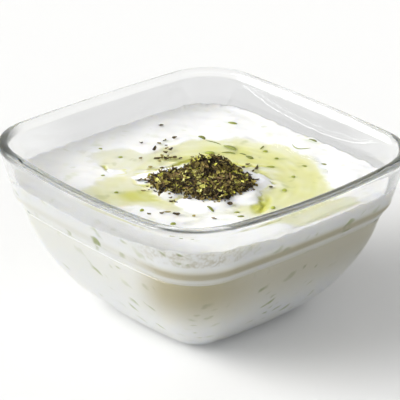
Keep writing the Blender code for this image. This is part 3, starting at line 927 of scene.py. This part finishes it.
# ---------------- loose crumbs
# Oregano that fell beside the heap: a small drift of curled bits behind it on the left, and
# single crumbs scattered round. Each lies on the dip or stands a little proud of it.
# Across, along and length in mm, slimness, heading in degrees, lean, curl and shade of each
STRAY_CRUMBS = (
    (-18.9, 21.7, 2.2, 0.5, 60, 0.5, 0.9, 0.0), (-14.3, 23.2, 2.0, 0.5, 20, 0.4, 0.4, 0.8),
    (-12.7, 21.7, 2.2, 0.6, 70, 0.6, 0.9, 0.0), (-14.2, 19.3, 2.2, 0.35, -30, 0.4, 0.7, 0.3),
    (-15.8, 17.0, 1.6, 0.6, 10, 0.3, 0.4, 0.9), (-17.4, 14.7, 2.2, 0.45, 0, 0.2, 0.2, 0.1),
    (-15.6, 15.2, 1.6, 0.6, 50, 0.5, 0.5, 0.5), (-14.2, 14.4, 2.2, 0.6, -20, 0.4, 0.6, 0.0),
    (-12.6, 14.8, 1.8, 0.5, 10, 0.3, 0.3, 0.6), (-10.9, 15.3, 2.0, 0.4, 10, 0.2, 0.3, 0.2),
    (-8.9, 14.9, 1.4, 0.7, 0, 0.1, 0.2, 0.0), (-16.3, 11.7, 1.4, 0.6, 0, 0.1, 0.3, 0.9),
    (-13.4, 16.8, 1.3, 0.5, 80, 0.3, 0.3, 0.5), (-23.6, 13.9, 1.5, 0.7, 0, 0.1, 0.3, 0.5),
    (-24.2, 27.4, 2.0, 0.35, -50, 0.2, 0.3, 0.1), (-19.3, 6.6, 1.7, 0.65, -20, 0.1, 0.3, 0.9),
    (-14.6, 4.3, 1.9, 0.45, 0, 0.1, 0.2, 0.4), (-4.5, 17.0, 1.3, 0.5, 20, 0.1, 0.2, 0.8),
    (-22.4, -6.1, 2.3, 0.75, 40, 0.5, 0.6, 0.3), (-19.9, -6.5, 2.6, 0.3, 0, 0.1, 0.2, 0.2),
    (-18.2, -2.8, 2.0, 0.55, 30, 0.2, 0.3, 0.6), (-9.9, -22.2, 2.3, 0.45, -15, 0.1, 0.3, 0.0),
    (-8.1, -23.0, 2.2, 0.4, -10, 0.1, 0.3, 0.1), (-4.7, -21.5, 2.2, 0.35, -50, 0.1, 0.2, 0.7),
    (-7.3, -34.0, 2.9, 0.6, -5, 0.1, 0.3, 0.0), (-12.5, -33.0, 1.5, 0.7, 0, 0.1, 0.3, 0.5),
    (-10.6, -31.6, 2.6, 0.12, 15, 0.0, 0.1, 1.0), (-16.9, -33.8, 1.4, 0.6, 0, 0.1, 0.2, 0.5),
    (6.1, -35.7, 1.8, 0.4, -10, 0.0, 0.2, 0.3), (11.0, -24.6, 2.1, 0.6, -10, 0.2, 0.4, 0.0),
    (15.9, -15.5, 1.1, 0.7, 0, 0.1, 0.2, 0.0), (25.0, -8.2, 1.4, 0.65, 0, 0.1, 0.3, 0.2),
    (20.0, -4.6, 2.3, 0.3, 15, 0.1, 0.2, 0.4), (14.7, 8.9, 1.4, 0.6, 0, 0.1, 0.2, 0.0),
    (19.3, 8.0, 2.6, 0.35, 65, 0.2, 0.4, 0.0), (18.2, 5.2, 2.4, 0.3, 75, 0.2, 0.3, 0.2),
    (-1.1, -34.3, 1.2, 0.6, 0, 0.0, 0.2, 1.0), (-20.5, -14.0, 1.5, 0.25, -10, 0.0, 0.1, 0.5),
    (8.5, 14.7, 1.3, 0.6, 20, 0.1, 0.2, 1.0), (16.0, 12.0, 1.6, 0.45, -5, 0.1, 0.2, 0.3),
    (-33.0, 43.0, 1.8, 0.55, 60, 0.3, 0.4, 0.1), (-18.0, 44.0, 2.0, 0.4, 10, 0.1, 0.3, 0.3),
    (-15.5, 31.0, 1.6, 0.6, 60, 0.4, 0.4, 0.2), (-12.0, 33.0, 1.9, 0.5, 50, 0.2, 0.3, 0.2),
    (-17.5, 28.0, 1.8, 0.5, 10, 0.1, 0.3, 0.7), (-14.8, 27.0, 1.2, 0.5, -10, 0.1, 0.2, 0.3))

dice = np.random.default_rng(8)
stray = np.array(STRAY_CRUMBS)
DUST_COUNT = 90
STRAY_GROWTH, STRAY_BREADTH = 1.2, 1.25
STRAY_SHADE = (0.34, 0.58)    # the darkest crumb's shade, and how much lighter the lightest is
dust_u = dice.uniform(HEAP_SPAN[0] - 2.0, HEAP_SPAN[1] + 1.5, 4000)
dust_v = dice.uniform(HEAP_SPAN[2] - 2.5, HEAP_SPAN[3] + 3.0, 4000)
beside = heap_height(dust_u * 0.93, dust_v * 0.93 - 0.3) > 0.0
beside &= heap_height(dust_u, dust_v) == 0.0
beside = np.nonzero(beside)[0][:DUST_COUNT]
dust = np.column_stack([
    dust_u[beside], dust_v[beside], dice.uniform(0.5, 1.3, len(beside)),
    dice.uniform(0.3, 0.8, len(beside)), dice.uniform(0.0, 360.0, len(beside)),
    dice.uniform(0.0, 0.4, len(beside)), dice.uniform(0.0, 0.5, len(beside)),
    np.zeros(len(beside))])
fallen = np.vstack([stray, dust])
x, y = off_diagonals(fallen[:, 0], fallen[:, 1])
proud = 0.00010 + 0.25 * fallen[:, 2] / 1000.0 * np.sin(fallen[:, 5])
fallen_places = np.column_stack([x, y, np.maximum(dip_height(x, y), level) + proud])
heading = np.radians(fallen[:, 4]) + math.pi / 4.0
loose_crumbs = crumbs(
    "loose_oregano_crumbs", dice, fallen_places, STRAY_GROWTH * fallen[:, 2] / 1000.0,
    STRAY_BREADTH * fallen[:, 3], fallen[:, 6], fallen[:, 5],
    dice.uniform(0.0, 2.0 * math.pi, len(fallen)), heading=heading, thickness=0.00018)
per_crumb = len(loose_crumbs.data.vertices) // len(fallen)
stray_shade = STRAY_SHADE[0] + STRAY_SHADE[1] * stray[:, 7]
own_shade = np.concatenate([stray_shade, dice.uniform(0.2, 0.9, len(dust))])
loose_crumbs.data.attributes["shade"].data.foreach_set(
    "value", np.repeat(own_shade, per_crumb).astype(np.float32))
loose_crumbs.data.materials.append(dried_leaf)
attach(loose_crumbs, "root")

# ---------------- dill
# Fresh dill and fine shreds of cucumber skin stirred into the dip: thin soft needles that lie
# on the surface or stand half sunk in it, in the oil as well as in the yoghurt.
# Across, along, length and width in mm, heading in degrees, share sunk, bow and shade of each
DILL = (
    (-2.0, 34.5, 3.2, 0.75, -35, 0.3, 0.1, 0.1), (2.5, 31.0, 7.0, 0.3, -30, 0.35, 0.1, 0.4),
    (8.9, 26.2, 6.4, 0.85, -38, 0.35, 0.1, 0.3), (8.6, 21.6, 5.3, 0.5, -6, 0.35, 0.12, 0.5),
    (14.0, 21.0, 3.4, 0.35, -35, 0.45, 0.1, 0.3), (16.6, 18.2, 3.6, 0.75, -38, 0.35, 0.0, 0.2),
    (20.9, 27.6, 3.4, 0.4, 68, 0.35, 0.0, 0.5), (22.2, 24.3, 2.0, 0.6, 5, 0.4, 0.0, 0.8),
    (24.6, 10.4, 3.0, 0.7, 0, 0.7, 0.0, 0.8), (1.7, 21.7, 3.7, 1.2, -4, 0.8, 0.0, 0.9),
    (4.4, -28.8, 3.2, 0.55, -35, 0.35, 0.1, 0.2), (26.3, -25.3, 1.9, 0.85, 30, 0.3, 0.0, 0.9),
    (13.7, -29.6, 2.0, 0.6, 10, 0.65, 0.0, 0.6), (-8.0, -41.5, 2.2, 0.75, 35, 0.35, 0.0, 0.7),
    (-19.7, -30.7, 1.7, 0.7, 50, 0.35, 0.0, 0.7), (9.0, 49.0, 4.2, 0.9, -25, 0.75, 0.0, 0.5),
    (33.0, 2.0, 1.6, 0.7, 10, 0.45, 0.0, 0.8), (30.0, -10.0, 1.7, 0.85, 20, 0.4, 0.0, 0.8),
    (26.5, 18.0, 1.6, 0.6, 0, 0.5, 0.0, 0.6), (37.0, 12.0, 2.0, 0.5, -30, 0.55, 0.0, 0.6),
    (44.0, 14.0, 2.4, 0.5, -30, 0.5, 0.0, 0.2), (-31.0, 15.0, 1.8, 0.7, 0, 0.6, 0.0, 0.7),
    (-30.0, -16.0, 1.6, 0.7, 20, 0.6, 0.0, 0.7), (15.2, -33.0, 2.6, 0.6, 12, 0.6, 0.0, 0.5),
    (39.5, 34.5, 5.0, 0.8, -38, 0.7, 0.05, 0.1), (35.5, 29.5, 8.0, 0.3, -28, 0.45, -0.35, 0.6),
    (-5.0, -45.0, 1.6, 0.6, -10, 0.5, 0.0, 0.4), (-1.0, -46.0, 1.4, 0.6, 20, 0.5, 0.0, 0.3),
    (-36.0, -2.0, 1.6, 0.4, 20, 0.5, 0.0, 0.6), (-39.0, 22.0, 1.6, 0.5, -20, 0.5, 0.0, 0.6))
NEEDLE_STATIONS = 11
NEEDLE_SIDES = 8
dice = np.random.default_rng(17)
needle_points, needle_faces, needle_shade = [], [], []
along_needle = np.linspace(0.0, 1.0, NEEDLE_STATIONS)
swell = np.clip(1.0 - (2.0 * along_needle - 1.0) ** 2, 0.02, 1.0)
around = np.linspace(0.0, 2.0 * math.pi, NEEDLE_SIDES, endpoint=False)
for across_mm, along_mm, length, width, heading, sunk, bow, own_shade in DILL:
    run = (along_needle - 0.5) * length
    side = (bow + dice.uniform(-0.05, 0.05)) * length * swell
    c, s = math.cos(math.radians(heading)), math.sin(math.radians(heading))
    u_line = across_mm + run * c - side * s
    v_line = along_mm + run * s + side * c
    girth = width * np.sqrt(swell) * (0.8 + 0.4 * along_needle)
    x, y = off_diagonals(u_line, v_line)
    ground = np.maximum(dip_height(x, y), level - 0.0001)
    lift = (1.0 - 2.0 * sunk) * width / 2000.0 * 0.8
    base = len(needle_points)
    for k in range(NEEDLE_STATIONS):
        out_u = -s * girth[k] * np.cos(around)
        out_v = c * girth[k] * np.cos(around)
        px, py = off_diagonals(u_line[k] + out_u, v_line[k] + out_v)
        pz = ground[k] + lift + girth[k] / 1000.0 * 0.7 * np.sin(around)
        needle_points.extend(np.column_stack([px, py, pz]).tolist())
    for k in range(NEEDLE_STATIONS - 1):
        for i in range(NEEDLE_SIDES):
            j = (i + 1) % NEEDLE_SIDES
            a, b = base + k * NEEDLE_SIDES, base + (k + 1) * NEEDLE_SIDES
            needle_faces.append((a + i, a + j, b + j, b + i))
    last = base + (NEEDLE_STATIONS - 1) * NEEDLE_SIDES
    needle_faces.append(tuple(base + i for i in reversed(range(NEEDLE_SIDES))))
    needle_faces.append(tuple(last + i for i in range(NEEDLE_SIDES)))
    needle_shade.extend([own_shade] * (NEEDLE_STATIONS * NEEDLE_SIDES))
dill = piece("dill_needles", needle_points, needle_faces, smooth=True)
keep_tint(dill, "shade", needle_shade)
fresh_green = leaf_finish("fresh_dill", (
    (0.0, (0.10, 0.11, 0.025)),
    (0.5, (0.25, 0.28, 0.045)),
    (1.0, (0.48, 0.54, 0.090))), 0.4)
dill.data.materials.append(fresh_green)
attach(dill, "root")
